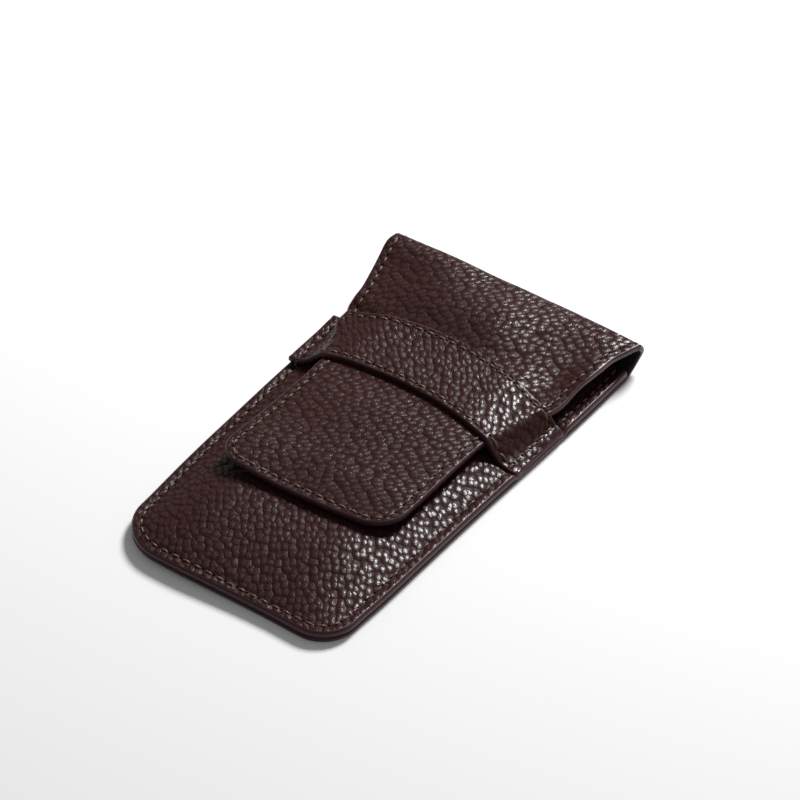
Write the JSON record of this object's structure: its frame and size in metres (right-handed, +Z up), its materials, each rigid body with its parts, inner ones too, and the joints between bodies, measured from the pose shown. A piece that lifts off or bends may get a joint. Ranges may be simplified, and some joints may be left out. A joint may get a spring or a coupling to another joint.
{
  "type": "watch pouch",
  "caption": "Slim lined leather pouch for a watch, with a fold-over flap whose tongue tucks under a band across the front.",
  "frame": {"origin": "on the surface that the pouch lies on, under the middle of its box", "axes": "+Y along the length towards the fold and the mouth, +X across the width to the right, +Z up out of the front"},
  "size_m": [0.075, 0.135, 0.01],
  "materials": {
    "pouch_leather": "pebble-grained, soft sheen",
    "band_leather": "pebble-grained, soft sheen",
    "black_lining": "matt"
  },
  "bodies": {
    "pouch": {"back_leather": "pouch_leather", "back_lining": "black_lining", "front_leather": "pouch_leather", "front_lining": "black_lining", "band_leather": "band_leather", "band_backing": "black_lining", "fold_leather": "pouch_leather", "fold_lining": "black_lining"},
    "flap": {"flap_leather": "pouch_leather", "flap_lining": "black_lining", "tongue_leather": "pouch_leather", "tongue_lining": "black_lining"}
  },
  "joints": [
    {"name": "flap_swing", "type": "hinge", "parent": "pouch", "child": "flap", "pos_m": [0, 0.0655, 0.005], "axis": [-1, 0, 0], "range_deg": [0, 175], "deforming": ["fold_leather", "fold_lining", "tongue_leather", "tongue_lining"]}
  ]
}
